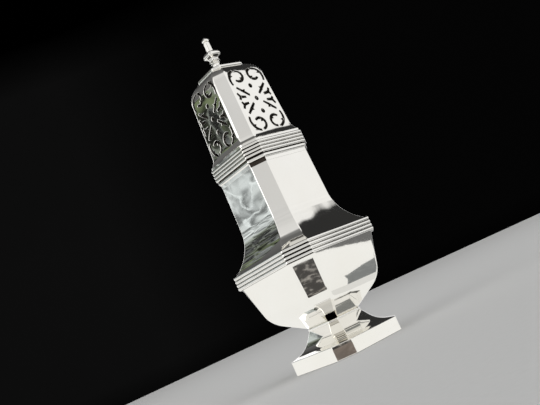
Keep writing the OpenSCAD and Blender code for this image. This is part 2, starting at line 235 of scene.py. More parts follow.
def linear(code):
    """An sRGB hex colour as linear red, green, blue and alpha."""
    parts = [int(code[i:i + 2], 16) / 255 for i in (1, 3, 5)]
    return [p / 12.92 if p <= 0.04045 else ((p + 0.055) / 1.055) ** 2.4 for p in parts] + [1.0]


def connect(tree, node, sockets):
    """Sets a node's sockets, by name or number, or links those whose value is a socket."""
    for name, value in sockets.items():
        named = (s for s in node.inputs if s.name == name and s.enabled)
        socket = node.inputs[name] if isinstance(name, int) else next(named)
        if isinstance(value, bpy.types.NodeSocket):
            tree.links.new(value, socket)
        else:
            socket.default_value = value


def add(tree, kind, sockets=None, **settings):
    """Adds a node with its settings and its sockets, and returns its first live output."""
    node = tree.nodes.new(kind)
    for name, value in settings.items():
        setattr(node, name, value)
    connect(tree, node, sockets or {})
    return next(s for s in node.outputs if s.enabled)


def on_piece(tree):
    """The point on the piece itself, so that a pattern moves with it."""
    return add(tree, "ShaderNodeTexCoord").node.outputs["Object"]


def noise(tree, spot, size, detail, distortion=0.0):
    """Noise with patches of about a size in millimetres."""
    return add(tree, "ShaderNodeTexNoise", {
        "Vector": spot, "Scale": 1 / (size * MM), "Detail": detail, "Distortion": distortion})


def ramp(tree, value, start, end, low=0.0, high=1.0):
    """A value between start and end, spread from low to high."""
    return add(tree, "ShaderNodeMapRange", {
        "Value": value, "From Min": start, "From Max": end, "To Min": low, "To Max": high})


def between(tree, share, low, high):
    """A level between two others."""
    return ramp(tree, share, 0.0, 1.0, low, high)


def maths(tree, operation, a, b):
    """Two levels brought together by an operation."""
    return add(tree, "ShaderNodeMath", {0: a, 1: b}, operation=operation)


def mix(tree, share, first, second):
    """A colour between two others, given as sRGB hex codes or as sockets."""
    a, b = (linear(colour) if isinstance(colour, str) else colour for colour in (first, second))
    return add(tree, "ShaderNodeMix", {"Factor": share, "A": a, "B": b}, data_type="RGBA")


def bump(tree, height, depth, **under):
    """A surface bumped to a depth in millimetres, over the bumps of another if one is given."""
    return add(tree, "ShaderNodeBump", {
        "Height": height, "Strength": 1.0, "Distance": depth * MM, **under})


def new_material(name):
    """An empty material with its node tree and its shader."""
    material = bpy.data.materials.new(name)
    material.use_nodes = True
    tree = material.node_tree
    return material, tree, tree.nodes["Principled BSDF"]


def polished_silver():
    """Sterling silver, raised by hammer and buffed to a mirror.

    The eye sees the room in it, bent by the shallow waves that the hammer leaves in every panel, with
    fine wiping lines and a faint warm film where a cloth seldom reaches.
    """
    material, tree, shader = new_material("sterling silver, mirror polished")
    spot = on_piece(tree)
    film = noise(tree, spot, size=30, detail=5.0)
    waves = noise(tree, spot, size=22, detail=1.0)
    ripples = noise(tree, spot, size=7, detail=2.0)
    # Wiping lines are a few hundredths of a millimetre wide, and are drawn half a millimetre wide to show
    wiped = add(tree, "ShaderNodeMapping", {
        "Vector": spot, "Rotation": (0.3, 0.2, 0.5), "Scale": (1, 9, 9)})
    lines = noise(tree, wiped, size=5, detail=3.0)
    hammered = bump(tree, waves, depth=0.25)
    connect(tree, shader, {
        "Base Color": mix(tree, film, "#f7f6f3", "#eeebe3"),
        "Roughness": ramp(tree, lines, 0.35, 0.7, low=0.02, high=0.07),
        "Normal": bump(tree, ripples, depth=0.01, Normal=hammered),
        "Metallic": 1.0})
    return material


def rubbed_silver():
    """Plain sterling silver, never buffed and rubbed by the neck it slides in.

    The eye sees a soft white sheen with fine upright rub marks.
    """
    material, tree, shader = new_material("sterling silver, rubbed by use")
    drawn = add(tree, "ShaderNodeMapping", {"Vector": on_piece(tree), "Scale": (1, 1, 0.05)})
    # Rub marks are hair fine, and are drawn 0.6 mm wide to show
    marks = noise(tree, drawn, size=0.6, detail=3.0)
    connect(tree, shader, {
        "Base Color": mix(tree, marks, "#f2f0ea", "#e2ded4"),
        "Roughness": ramp(tree, marks, 0.3, 0.7, low=0.18, high=0.34),
        "Normal": bump(tree, marks, depth=0.01),
        "Metallic": 1.0})
    return material


def dull_shaded_silver():
    """Sterling silver inside the shells and in the saw cuts, where no buff reaches.

    The eye sees a matt grey-brown tarnish, its darkness painted shade as well, so that the piercing looks
    dark.
    """
    material, tree, shader = new_material("sterling silver, tarnished and painted shade inside")
    bloom = noise(tree, on_piece(tree), size=6, detail=4.0)
    connect(tree, shader, {
        "Base Color": mix(tree, bloom, "#77726a", "#5b564e"),
        "Roughness": ramp(tree, bloom, 0.3, 0.7, low=0.38, high=0.55),
        "Metallic": 1.0})
    return material


def oxidised_and_shaded_silver():
    """Sterling silver in the grooves of the reeds, blackened by age where no cloth or buff reaches.

    The eye sees thin brown-black lines between the bright reeds; on the cants and in the rim's hollow the
    dark reaches further, as painted shade.
    """
    material, tree, shader = new_material("sterling silver, oxidised and painted shade")
    bloom = noise(tree, on_piece(tree), size=4, detail=3.0)
    connect(tree, shader, {
        "Base Color": mix(tree, bloom, "#4c453f", "#2b2622"),
        "Roughness": ramp(tree, bloom, 0.3, 0.7, low=0.22, high=0.35),
        "Metallic": 1.0})
    return material


POLISHED = polished_silver()
RUBBED = rubbed_silver()
DULL_SHADED = dull_shaded_silver()
OXIDISED_AND_SHADED = oxidised_and_shaded_silver()


def place_polished(bm, name, body):
    """Places a piece that is polished all over."""
    place(bm, name, body, "polished_silver", POLISHED)


def place_shell(bm, name, body):
    """Places a piece that is polished outside, and dull and darkened inside by tarnish and painted shade.
    """
    place(bm, name, body, "polished_silver", POLISHED, DULL_SHADED)


def place_reeded(bm, name, body):
    """Places a piece that is polished, with dark grooves."""
    place(bm, name, body, "polished_silver", POLISHED, OXIDISED_AND_SHADED)


# Foot: thickness of the plain rim, the turn of the hollow curve, and the wire collar
FOOT_RIM_T = 1.4
FOOT_EDGE_R = 0.4
SPREAD_TURN_OUT = 4.6
SPREAD_TURN_H = 2.9
SPREAD_TURN_R = 10.6
COLLAR_OUT = 0.25
COLLAR_T = 3

foot_w = half_width("foot_rim")
foot_neck_w = half_width("foot_collar") - COLLAR_OUT


def foot_rim():
    """The plain upright rim that the caster stands on."""
    low, high = bottom("foot_rim"), top("foot_rim")
    inner = foot_w - FOOT_RIM_T
    bm = bmesh.new()
    path = eased([
        (inner, high, 0),
        (inner, low, FOOT_EDGE_R),
        (foot_w, low, FOOT_EDGE_R),
        (foot_w, high, 0),
        (inner, high, 0)])
    draw(bm, path)
    place_polished(bm, "foot_rim", "body")


def spreading_foot():
    """The hollow-curved foot, raised from sheet and open beneath."""
    low, high = bottom("spreading_foot"), top("spreading_foot")
    turn_w = foot_neck_w + SPREAD_TURN_OUT
    turn_z = low + SPREAD_TURN_H
    bm = bmesh.new()
    outer = eased([
        (foot_w, low, 0),
        (foot_w, low + SHEET, FOOT_EDGE_R),
        (turn_w, turn_z, SPREAD_TURN_R),
        (foot_neck_w, high, 0)])
    inner = eased([
        (foot_neck_w - SHEET, high, 0),
        (turn_w - SHEET, turn_z - SHEET, SPREAD_TURN_R + SHEET),
        (foot_w - FOOT_RIM_T, low, 0)])
    draw_shell(bm, outer, inner + outer[:1])
    place_shell(bm, "spreading_foot", "body")


def foot_collar():
    """The half-round wire at the joint between foot and bowl."""
    low, high = bottom("foot_collar"), top("foot_collar")
    outer_w = foot_neck_w + COLLAR_OUT
    inner = outer_w - COLLAR_T
    bm = bmesh.new()
    crown = reeded(outer_w, low, 1, high - low, COLLAR_OUT)
    draw(bm, crown + [Vector((inner, high)), Vector((inner, low)), crown[0]])
    place_polished(bm, "foot_collar", "body")


# Bowl: its base, the lean of its side and the rounded corner below
BOWL_BASE_IN = 0.6
BOWL_LEAN = 4.6
BOWL_CORNER_H = 9.4
BOWL_CORNER_R = 13.7

belly_w = half_width("bowl")


def bowl():
    """The lower half of the pear-shaped body, closed at its base."""
    low, high = bottom("bowl"), top("bowl")
    belly_z = bottom("belly_band")
    base_w = foot_neck_w - BOWL_BASE_IN
    corner_w = belly_w - BOWL_LEAN
    corner_z = low + BOWL_CORNER_H
    bm = bmesh.new()
    outer = eased([
        (base_w, low, 0),
        (corner_w, corner_z, BOWL_CORNER_R),
        (belly_w, belly_z, 0),
        (belly_w, high, 0)])
    inner = eased([
        (belly_w - SHEET, high, 0),
        (belly_w - SHEET, belly_z, 0),
        (corner_w - SHEET, corner_z + SHEET / 2, BOWL_CORNER_R - SHEET),
        (base_w - SHEET / 2, low + SHEET, 0)])
    floor, inner_floor = draw_shell(bm, outer, inner)
    cap(bm, floor)
    cap(bm, inner_floor, INSIDE)
    place_shell(bm, "bowl", "body")


# Belly band: reeds and the depth of the grooves between them
BELLY_REEDS = 4
BELLY_GROOVE = 0.6


def belly_band():
    """Reeded wire that covers the seam at the belly."""
    low, high = bottom("belly_band"), top("belly_band")
    bm = bmesh.new()
    width = half_width("belly_band")
    reeds = reeded(width, low, BELLY_REEDS, (high - low) / BELLY_REEDS, BELLY_GROOVE, REED_RUBBED)
    back = [Vector((belly_w, high)), Vector((belly_w, low)), reeds[0]]
    draw(bm, reeds + back)
    # Grooves darkened: oxide on the broad faces, and on the cants, further up the reeds, painted shade as
    # well
    tarnish_and_shade(bm, width, BELLY_GROOVE * GROOVE_CLEAN, BELLY_GROOVE * CANT_KEPT_BRIGHT)
    place_reeded(bm, "belly_band", "body")


# Upper body: its rim, and the waist where the flare begins
RIM_OUT = 0.7
RIM_LIP = 0.1
WAIST_OUT = 0.7
WAIST_H = 7.5
WAIST_R = 24.9
RIM_HOLLOW_H = 1.8
# Share of the hollow's depth that its round corner takes
RIM_HOLLOW_ROUND = 0.9

rim_w = half_width("rim_moulding") - RIM_OUT


def upper_body():
    """The flared upper half of the body, open at its mouth."""
    low, high = bottom("upper_body"), top("upper_body")
    flare_z = top("belly_band")
    rim_z = bottom("rim_moulding")
    waist_w = rim_w + WAIST_OUT
    waist_z = flare_z + WAIST_H
    bm = bmesh.new()
    outer = eased([
        (belly_w, low, 0),
        (belly_w, flare_z, 0),
        (waist_w, waist_z, WAIST_R),
        (rim_w, rim_z, 0),
        (rim_w, high, 0)])
    inner = eased([
        (rim_w - SHEET, high, 0),
        (rim_w - SHEET, rim_z, 0),
        (waist_w - SHEET, waist_z - SHEET / 2, WAIST_R + SHEET),
        (belly_w - SHEET, flare_z - SHEET / 2, 0),
        (belly_w - SHEET, low, 0)])
    draw_shell(bm, outer, inner + outer[:1])
    place_shell(bm, "upper_body", "body")


def rim_moulding():
    """The reed and hollow at the mouth of the body."""
    low, high = bottom("rim_moulding"), top("rim_moulding")
    reed_z = low + RIM_HOLLOW_H
    reed_foot_w = rim_w + RIM_OUT / 2
    bm = bmesh.new()
    hollow = eased([
        (rim_w + RIM_LIP, low, 0),
        (rim_w + RIM_LIP, reed_z, (reed_foot_w - rim_w - RIM_LIP) * RIM_HOLLOW_ROUND),
        (reed_foot_w, reed_z, 0)])
    reed = reeded(rim_w + RIM_OUT, reed_z, 1, high - reed_z, RIM_OUT / 2)
    draw(bm, hollow + reed + [Vector((rim_w, high)), Vector((rim_w, low)), hollow[0]])
    # Only the cants' hollow and reed foot are darkened here: painted shade
    tarnish_and_shade(bm, rim_w + RIM_OUT, RIM_OUT, RIM_OUT * CANT_KEPT_BRIGHT)
    place_reeded(bm, "rim_moulding", "body")


# Cover: reeds of its band, the bezel, the hollow above the band, the panels and the crown
COVER_REEDS = 4
COVER_GROOVE = 0.7
BEZEL_T = 0.7
BEZEL_EDGE_R = 0.25
COVE_LIP_H = 1
COVE_OUT = 1.95
COVE_RISE = 2.05
COVE_R = 7
PANELS = 4
PANEL_LEAN = 1.7
SHOULDER_R = 9.6
CROWN_IN = 5.9
CROWN_H = 2.7
PEG_HOLE_R = 1.2
# How far the inner corners of the shell lie below the outer ones, as shares of the sheet
COVE_BELOW = 0.4
SHOULDER_BELOW = 0.6

bezel_w = half_width("cover_bezel")
cove_w = half_width("pierced_cover")
shell_z = bottom("pierced_cover")
crown_z = top("pierced_cover")


def cover_bezel():
    """The sleeve that slides into the neck of the body."""
    low, high = bottom("cover_bezel"), top("cover_bezel")
    inner = bezel_w - BEZEL_T
    bm = bmesh.new()
    path = eased([
        (inner, high, 0),
        (inner, low, BEZEL_EDGE_R),
        (bezel_w, low, BEZEL_EDGE_R),
        (bezel_w, high, 0),
        (inner, high, 0)])
    draw(bm, path)
    place(bm, "cover_bezel", "cover", "bezel_silver", RUBBED)


def cover_band():
    """Reeded moulding at the foot of the cover."""
    low, high = bottom("cover_band"), top("cover_band")
    bm = bmesh.new()
    width = half_width("cover_band")
    reeds = reeded(width, low, COVER_REEDS, (high - low) / COVER_REEDS, COVER_GROOVE, REED_RUBBED)
    back = [Vector((bezel_w, high)), Vector((bezel_w, low)), reeds[0]]
    draw(bm, reeds + back)
    # Grooves darkened: oxide on the broad faces, and on the cants, further up the reeds, painted shade as
    # well
    tarnish_and_shade(bm, width, COVER_GROOVE * GROOVE_CLEAN, COVER_GROOVE * CANT_KEPT_BRIGHT)
    place_reeded(bm, "cover_band", "cover")


# Piercing: the plain margins, the saw-cut strokes and the drilled dots
PANEL_MARGIN = 0.6
PANEL_END = 3.2
PATTERN_RISE = 1.2
STROKE = 1.4
STROKE_END = 0.75
STROKE_STEPS = 28
DOT_R = 1.1
DOT_STEP = 7
DOT_SIDES = 40
BARB_H = 1
BARB_BACK = 1.3
BARB_FRONT = 0.9
BARB_POINT = 0.4
SCROLL_R = 5.6
SCROLL_DROP = 5.7
SCROLL_ENDS = (-24, 74)
SCROLL_BARB = 28
CURL_R = 2.95
CURL_GAP = 2.4
CURL_ENDS = (94, 314)
CURL_BARB = 222
DIAGONAL_DROP = 9.6
DIAGONAL_IN = 2.2
DIAGONAL_INNER = Vector((3, 2.2))
FORK_IN = 2
FORK_UP = 2.1
FORK_LEGS = (Vector((-3.2, -0.45)), Vector((0.9, -1.45)), Vector((1.1, 2.1)))
FORK_ROOT = 1.1
FORK_TIP = 0.76
# How far the blades reach behind the outer face of the cover and in front of it
BLADE_IN = 2
BLADE_OUT = 2
# How far the buff rounds the edges of the cuts, as steps of its widening and its depth
CUT_EASE = 0.25
CUT_ROUND = ((0, 1), (0.134, 0.5), (0.5, 0.134), (1.15, -0.04))

panel_w = cove_w - COVE_OUT
shoulder_z = crown_z - CROWN_H
panel_h = shoulder_z - shell_z
pattern_h = panel_h / 2 + PATTERN_RISE
pattern_w = (panel_w - PANEL_LEAN * pattern_h / panel_h) * (1 - CANT) - PANEL_MARGIN
pattern_half_h = panel_h / 2 - PANEL_END


def arc(centre, radius, ends, grow):
    """Outline of a stroke along an arc, narrower at its ends."""
    start, turn = math.radians(ends[0]), math.radians(ends[1] - ends[0])
    far, near = [], []
    for step in range(STROKE_STEPS + 1):
        share = step / STROKE_STEPS
        out = Vector((math.cos(start + turn * share), math.sin(start + turn * share)))
        past = {0: -grow, STROKE_STEPS: grow}.get(step, 0)
        middle = centre + out * radius + Vector((-out.y, out.x)) * past
        half = STROKE / 2 * (STROKE_END + (1 - STROKE_END) * math.sin(math.pi * share)) + grow
        far.append(middle + out * half)
        near.append(middle - out * half)
    return far + near[::-1]


def bar(a, b, width_a, width_b, grow):
    """Outline of a straight stroke from a to b, with its widths at both ends."""
    along = (b - a).normalized()
    side_a, side_b = (along.orthogonal() * (width / 2 + grow) for width in (width_a, width_b))
    a, b = a - along * grow, b + along * grow
    return [a + side_a, a - side_a, b - side_b, b + side_b]


def barb(point, along, side, grow):
    """Outline of a barb on a stroke that runs along one direction, pointing to one side of it."""
    corners = [
        point - along * BARB_H * BARB_BACK,
        point + along * BARB_H * BARB_FRONT,
        point + side * (BARB_H + STROKE / 2) + along * BARB_H * BARB_POINT]
    sides = [(corners[i - 1] - corners[i - 2]).length for i in range(3)]
    middle = sum((corner * side for corner, side in zip(corners, sides)), Vector((0, 0))) / sum(sides)
    inner_r = abs((corners[1] - corners[0]).cross(corners[2] - corners[0])) / sum(sides)
    return [middle + (corner - middle) * (1 + grow / inner_r) for corner in corners]


def scroll(centre, radius, ends, barb_turn, grow):
    """Outlines of an arc of a scroll and the barb on its inside."""
    turn = math.radians(barb_turn)
    out = Vector((math.cos(turn), math.sin(turn)))
    return [
        arc(centre, radius, ends, grow),
        barb(centre + out * radius, Vector((-out.y, out.x)), -out, grow)]


def dot(height, grow):
    """Outline of a drilled dot on the middle line of the panel."""
    turns = [math.tau * step / DOT_SIDES for step in range(DOT_SIDES)]
    return [Vector((math.cos(t), math.sin(t))) * (DOT_R + grow) + Vector((0, height)) for t in turns]


def quarter(grow):
    """Outlines in a quarter of a panel: a scroll with its curl, a diagonal stroke and a fork."""
    outer_centre = Vector((pattern_w - SCROLL_R - STROKE / 2, pattern_half_h - SCROLL_DROP))
    curl_centre = Vector((CURL_GAP / 2 + CURL_R + STROKE / 2, pattern_half_h - CURL_R - STROKE / 2))
    outlines = scroll(outer_centre, SCROLL_R, SCROLL_ENDS, SCROLL_BARB, grow)
    outlines += scroll(curl_centre, CURL_R, CURL_ENDS, CURL_BARB, grow)
    outer = Vector((pattern_w - DIAGONAL_IN, pattern_half_h - DIAGONAL_DROP))
    middle = (outer + DIAGONAL_INNER) / 2
    outlines += [bar(middle, end, STROKE, STROKE * STROKE_END, grow) for end in (outer, DIAGONAL_INNER)]
    along = (DIAGONAL_INNER - outer).normalized()
    outlines.append(barb(middle, along, Vector((along.y, -along.x)), grow))
    joint = Vector((pattern_w - FORK_IN, FORK_UP))
    for leg in FORK_LEGS:
        root = joint - leg.normalized() * STROKE / 3
        outlines.append(bar(root, joint + leg, STROKE * FORK_ROOT, STROKE * FORK_TIP, grow))
    return outlines


def pattern(grow):
    """Outlines of a panel's pattern, each grown by a width, from points across and up."""
    outlines = [
        [Vector((p.x * across, p.y * up)) for p in outline]
        for across in (-1, 1) for up in (-1, 1) for outline in quarter(grow)]
    outlines += [dot(step * DOT_STEP, grow) for step in (-1, 0, 1)]
    return outlines


def width_at(path, height):
    """Half width of a profile at a height."""
    for a, b in zip(path, path[1:]):
        if b.y <= height <= a.y:
            return b.x + (a.x - b.x) * (height - b.y) / (a.y - b.y)


def blade(bm, rings, finishes):
    """A closed cutter drawn through rings of points, with the finish of the wall up to each ring."""
    verts = [bmesh.ops.create_vert(bm, co=point * MM)["vert"][0] for point in rings[0]]
    outline = [
        bmesh.ops.contextual_create(bm, geom=ends)["edges"][0]
        for ends in zip(verts, verts[1:] + verts[:1])]
    face = bmesh.ops.contextual_create(bm, geom=outline)["faces"][0]
    order = [verts.index(v) for v in face.verts]
    for ring, finish in zip(rings[1:], finishes):
        last = face
        made = bmesh.ops.extrude_face_region(bm, geom=[face], use_keep_orig=True)["geom"]
        face = next(f for f in made if isinstance(f, bmesh.types.BMFace))
        if ring is not rings[1]:
            bmesh.ops.delete(bm, geom=[last], context="FACES_ONLY")
        for vert, index in zip(face.verts, order):
            vert.co = ring[index] * MM
        for wall in {f for v in face.verts for f in v.link_faces}:
            wall.material_index = finish


def piercing_cutter(outer):
    """The blades of the four panels, which follow the outer profile and round the edges of the cuts."""
    grows = [0] + [grow * CUT_EASE for grow, depth in CUT_ROUND] + [CUT_ROUND[-1][0] * CUT_EASE]
    depths = [BLADE_IN] + [depth * CUT_EASE for grow, depth in CUT_ROUND] + [-BLADE_OUT]
    # The walls of the cuts take the dull finish: tarnish, and painted shade inside the cover
    finishes = [INSIDE] + [OUTSIDE] * (len(CUT_ROUND) - 1) + [INSIDE]
    middle_z = shell_z + pattern_h
    bm = bmesh.new()
    for outlines in zip(*(pattern(grow) for grow in grows)):
        rings = [
            [Vector((p.x, depth - width_at(outer, p.y + middle_z), p.y + middle_z)) for p in outline]
            for outline, depth in zip(outlines, depths)]
        blade(bm, rings, finishes)
    bmesh.ops.spin(
        bm, geom=bm.verts[:] + bm.edges[:] + bm.faces[:], cent=(0, 0, 0), axis=(0, 0, 1),
        angle=math.tau * (PANELS - 1) / PANELS, steps=PANELS - 1, use_duplicate=True)
    bmesh.ops.recalc_face_normals(bm, faces=bm.faces)
    return as_object(bm, "piercing_cutter", POLISHED, DULL_SHADED)


def pierce(bm, outer):
    """Cuts the pattern through the panels of a shell with that outer profile, and returns the cut shell."""
    close(bm)
    shell = as_object(bm, "shell", POLISHED, DULL_SHADED)
    cutter = piercing_cutter(outer)
    saw = shell.modifiers.new("saw", "BOOLEAN")
    saw.object = cutter
    saw.operation = "DIFFERENCE"
    saw.solver = "EXACT"
    saw.use_self = True
    cut = shell.evaluated_get(bpy.context.evaluated_depsgraph_get()).to_mesh()
    pierced = bmesh.new()
    pierced.from_mesh(cut)
    shell.to_mesh_clear()
    for scrap in (shell, cutter):
        scrap_mesh = scrap.data
        bpy.data.objects.remove(scrap)
        bpy.data.meshes.remove(scrap_mesh)
    return pierced


def pierced_cover():
    """The domed cover, with its hollow moulding and four pierced panels."""
    shoulder_w = panel_w - PANEL_LEAN
    crown_w = shoulder_w - CROWN_IN
    lip_z = shell_z + COVE_LIP_H
    cove_z = lip_z + COVE_RISE
    bm = bmesh.new()
    outer = eased([
        (crown_w, crown_z, 0),
        (shoulder_w, shoulder_z, SHOULDER_R),
        (panel_w, cove_z, COVE_R),
        (cove_w, lip_z, 0),
        (cove_w, shell_z, 0)])
    inner = eased([
        (cove_w - COVER_SHEET, shell_z, 0),
        (cove_w - COVER_SHEET, lip_z - COVER_SHEET * COVE_BELOW, 0),
        (panel_w - COVER_SHEET, cove_z - COVER_SHEET * COVE_BELOW, COVE_R + COVER_SHEET),
        (shoulder_w - COVER_SHEET, shoulder_z - COVER_SHEET * SHOULDER_BELOW, SHOULDER_R - COVER_SHEET),
        (crown_w, crown_z - COVER_SHEET, 0)])
    crown, under_crown = draw_shell(bm, outer, inner)
    round_hole(bm, under_crown, crown, PEG_HOLE_R, crown_z - COVER_SHEET, crown_z)
    bm = pierce(bm, outer)
    place_shell(bm, "pierced_cover", "cover")


# Finial: its plate, base, rings, knop, stem and button
PLATE_EDGE_H = 1.9
PLATE_EDGE_IN = 0.5
FINIAL_EASE = 0.3
BASE_W = 4.4
BASE_H = 1.2
BASE_R = 2.4
NECK_W = 1.4
NECK_H = 4.2
RING_LOW_OUT = 0.55
RING_HIGH_OUT = 0.85
RING_H = 0.9
RING_GAP = 0.35
KNOP_W = 3.6
KNOP_CUP_H = 2.2
KNOP_FOOT_H = 1
KNOP_HOLLOW_R = 1
KNOP_SIDE_H = 2
KNOP_EDGE_R = 1
KNOP_SHOULDER_R = 1.7
KNOP_TOP_H = 0.8
STEM_W = 1.3
STEM_LEAN = 0.1
STEM_H = 5
GROOVE_IN = 0.25
GROOVE_H = 0.4
TIP_OUT = 0.5
TIP_SLOPE_H = 0.25
TIP_SIDE_H = 1.1
TIP_TOP_IN = 0.9
TIP_SHOULDER_R = 1.4
PEG_R = 1.1
PEG_SIDES = 40


def finial_plate():
    """The canted-square plate that seats the finial on the crown."""
    low, high = bottom("finial_plate"), top("finial_plate")
    edge = reeded(half_width("finial_plate"), low, 1, PLATE_EDGE_H, PLATE_EDGE_IN)
    bm = bmesh.new()
    under, seat = draw(bm, edge + [Vector((BASE_W, high))])
    round_hole(bm, under, seat, PEG_HOLE_R, low, high)
    place_polished(bm, "finial_plate", "cover")


def finial():
    """The cast and filed knop, with its rings, stem and button, on a peg through the plate."""
    low, high = top("finial_plate"), top("finial")
    ring_z = low + NECK_H
    high_ring_z = ring_z + RING_H + RING_GAP
    knop_z = high_ring_z + RING_H
    side_z = knop_z + KNOP_CUP_H
    shoulder_top = side_z + KNOP_SIDE_H
    stem_z = shoulder_top + KNOP_TOP_H
    groove_z = stem_z + STEM_H
    tip_z = groove_z + GROOVE_H
    ring_w = NECK_W + RING_LOW_OUT
    stem_top_w = STEM_W - STEM_LEAN
    groove_w = stem_top_w - GROOVE_IN
    tip_w = groove_w + TIP_OUT
    bm = bmesh.new()
    base = eased([(BASE_W, low, 0), (NECK_W, low + BASE_H, BASE_R), (NECK_W, ring_z, 0)])
    low_ring = reeded(ring_w, ring_z, 1, RING_H, RING_LOW_OUT)
    high_ring = reeded(NECK_W + RING_HIGH_OUT, high_ring_z, 1, RING_H, RING_HIGH_OUT)
    knop = eased([
        (ring_w, knop_z, 0),
        (ring_w, knop_z + KNOP_FOOT_H, KNOP_HOLLOW_R),
        (KNOP_W, side_z, KNOP_EDGE_R),
        (KNOP_W, shoulder_top, KNOP_SHOULDER_R),
        (STEM_W, stem_z, 0)])
    tip = eased([
        (stem_top_w, groove_z, 0),
        (groove_w, groove_z, 0),
        (groove_w, tip_z, 0),
        (tip_w, tip_z + TIP_SLOPE_H, 0),
        (tip_w, tip_z + TIP_SLOPE_H + TIP_SIDE_H, TIP_SHOULDER_R),
        (tip_w - TIP_TOP_IN, high, 0)])
    seat, button = draw(bm, base + low_ring + high_ring + knop + tip, FINIAL_EASE)
    cap(bm, seat)
    cap(bm, button)
    peg_h = low - bottom("finial")
    bmesh.ops.create_cone(
        bm, cap_ends=True, segments=PEG_SIDES, radius1=PEG_R * MM, radius2=PEG_R * MM, depth=peg_h * MM,
        matrix=Matrix.Translation((0, 0, (low - peg_h / 2) * MM)))
    place_polished(bm, "finial", "cover")


for make in (
        foot_rim, spreading_foot, foot_collar, bowl, belly_band, upper_body, rim_moulding,
        cover_bezel, cover_band, pierced_cover, finial_plate, finial):
    make()


# Stage: half width of the floor, and the heights and corners of cards that only the silver sees
FLOOR_HALF = 3000
GLOW_UNDER_Z = 0.2
GLOW_UNDER = ((-450, -450), (450, -450), (450, -118), (-118, 450), (-450, 450))
FLAG_Z = 0.5
FLAG_FRONT = ((29, -58), (53, -35), (110, -94), (86, -117))
FLAG_FOOT = ((30, -55), (55, -30))
FLAG_FOOT_TOP = 12
FLAG_RIM = ((15.9, -24.4), (24.4, -15.9))
FLAG_RIM_TOP = 5.4
RIGHT_Z = 8.5
GLOW_RIGHT = ((28, 4), (41, 4), (40, 19), (36, 120), (25, 120), (25, 15))
FLAG_RIGHT = ((40, 19), (82, 52), (96, 120), (36, 120))
# Glow of the two sheets that only the silver shows, painted reflections: a bright one under the caster and
# a dimmer one on the right
REFLECTED_GLOW = 0.94
REFLECTED_GLOW_DIM = 0.78
# Glowing card on the left, a painted reflection of a room: direction, distance from the caster at a height,
# width, and reach below and above
LEFT_GLOW_FROM = (-150, 20)
LEFT_GLOW_DISTANCE = 215
LEFT_GLOW_AIM_Z = 80
LEFT_GLOW_W = 200
LEFT_GLOW_BELOW = 78
LEFT_GLOW_ABOVE = 68
# Heights over which the card's painted reflection turns from white to green, and over which its green part
# grows brighter
LEFT_GLOW_GREEN = (140, 162)
LEFT_GLOW_PALER = (186, 200)
# Levels of the noise at which a painted bright streak of the card starts and ends
STREAK_START = (0.468, 0.482)
STREAK_END = (0.518, 0.532)


def sheet(name, corners, material):
    """A flat sheet of the stage between corners in millimetres."""
    bm = bmesh.new()
    verts = [bmesh.ops.create_vert(bm, co=Vector(corner) * MM)["vert"][0] for corner in corners]
    bmesh.ops.contextual_create(bm, geom=verts)
    made = as_object(bm, name, material)
    return made


def card(name, corners, material):
    """A sheet that is only seen in the silver."""
    made = sheet(name, corners, material)
    made.visible_camera = False
    made.visible_diffuse = False
    made.visible_shadow = False


def lying(height, corners):
    """Corners of a level sheet at a height."""
    return [(x, y, height) for x, y in corners]


def standing(low, high, ends):
    """Corners of an upright sheet between two heights."""
    a, b = ends
    return [(*a, low), (*b, low), (*b, high), (*a, high)]


def toward(azimuth, elevation):
    """The direction at an azimuth and elevation in degrees."""
    a, e = math.radians(azimuth), math.radians(elevation)
    return Vector((math.cos(a) * math.cos(e), math.sin(a) * math.cos(e), math.sin(e)))


def left_glow_corners():
    """Corners of the glowing card on the left, which faces the caster."""
    azimuth, elevation = LEFT_GLOW_FROM
    away = toward(azimuth, elevation)
    across = toward(azimuth + 90, 0) * LEFT_GLOW_W / 2
    up = away.cross(across).normalized()
    low = Vector((0, 0, LEFT_GLOW_AIM_Z)) + away * LEFT_GLOW_DISTANCE - up * LEFT_GLOW_BELOW
    high = low + up * (LEFT_GLOW_BELOW + LEFT_GLOW_ABOVE)
    return [low - across, low + across, high + across, high - across]


def laminate():
    """Matt pale laminate: even and soft, with a faint grain."""
    material, tree, shader = new_material("matt pale laminate")
    grain = noise(tree, on_piece(tree), size=2, detail=2.0)
    connect(tree, shader, {
        "Base Color": mix(tree, grain, "#d3d3d2", "#cdcdcc"),
        "Roughness": 0.9,
        "Specular IOR Level": 0.0})
    return material


def matt_reflection(name, dark, pale):
    """A matt sheet that only the silver shows: a painted dark reflection, with paler painted streaks."""
    material, tree, shader = new_material(name)
    pale_streaks = noise(tree, on_piece(tree), size=9, detail=2.0, distortion=1.5)
    streak = ramp(tree, pale_streaks, 0.52, 0.64)
    connect(tree, shader, {"Base Color": mix(tree, streak, dark, pale), "Roughness": 1.0})
    return material


def glowing_reflection(name, level):
    """An evenly glowing sheet that only the silver shows: a painted bright reflection in the underside of
    the silver.
    """
    material, tree, shader = new_material(name)
    connect(tree, shader, {
        "Base Color": linear("#000000"),
        "Roughness": 1.0,
        "Emission Color": linear("#fdfdfb"),
        "Emission Strength": level})
    return material


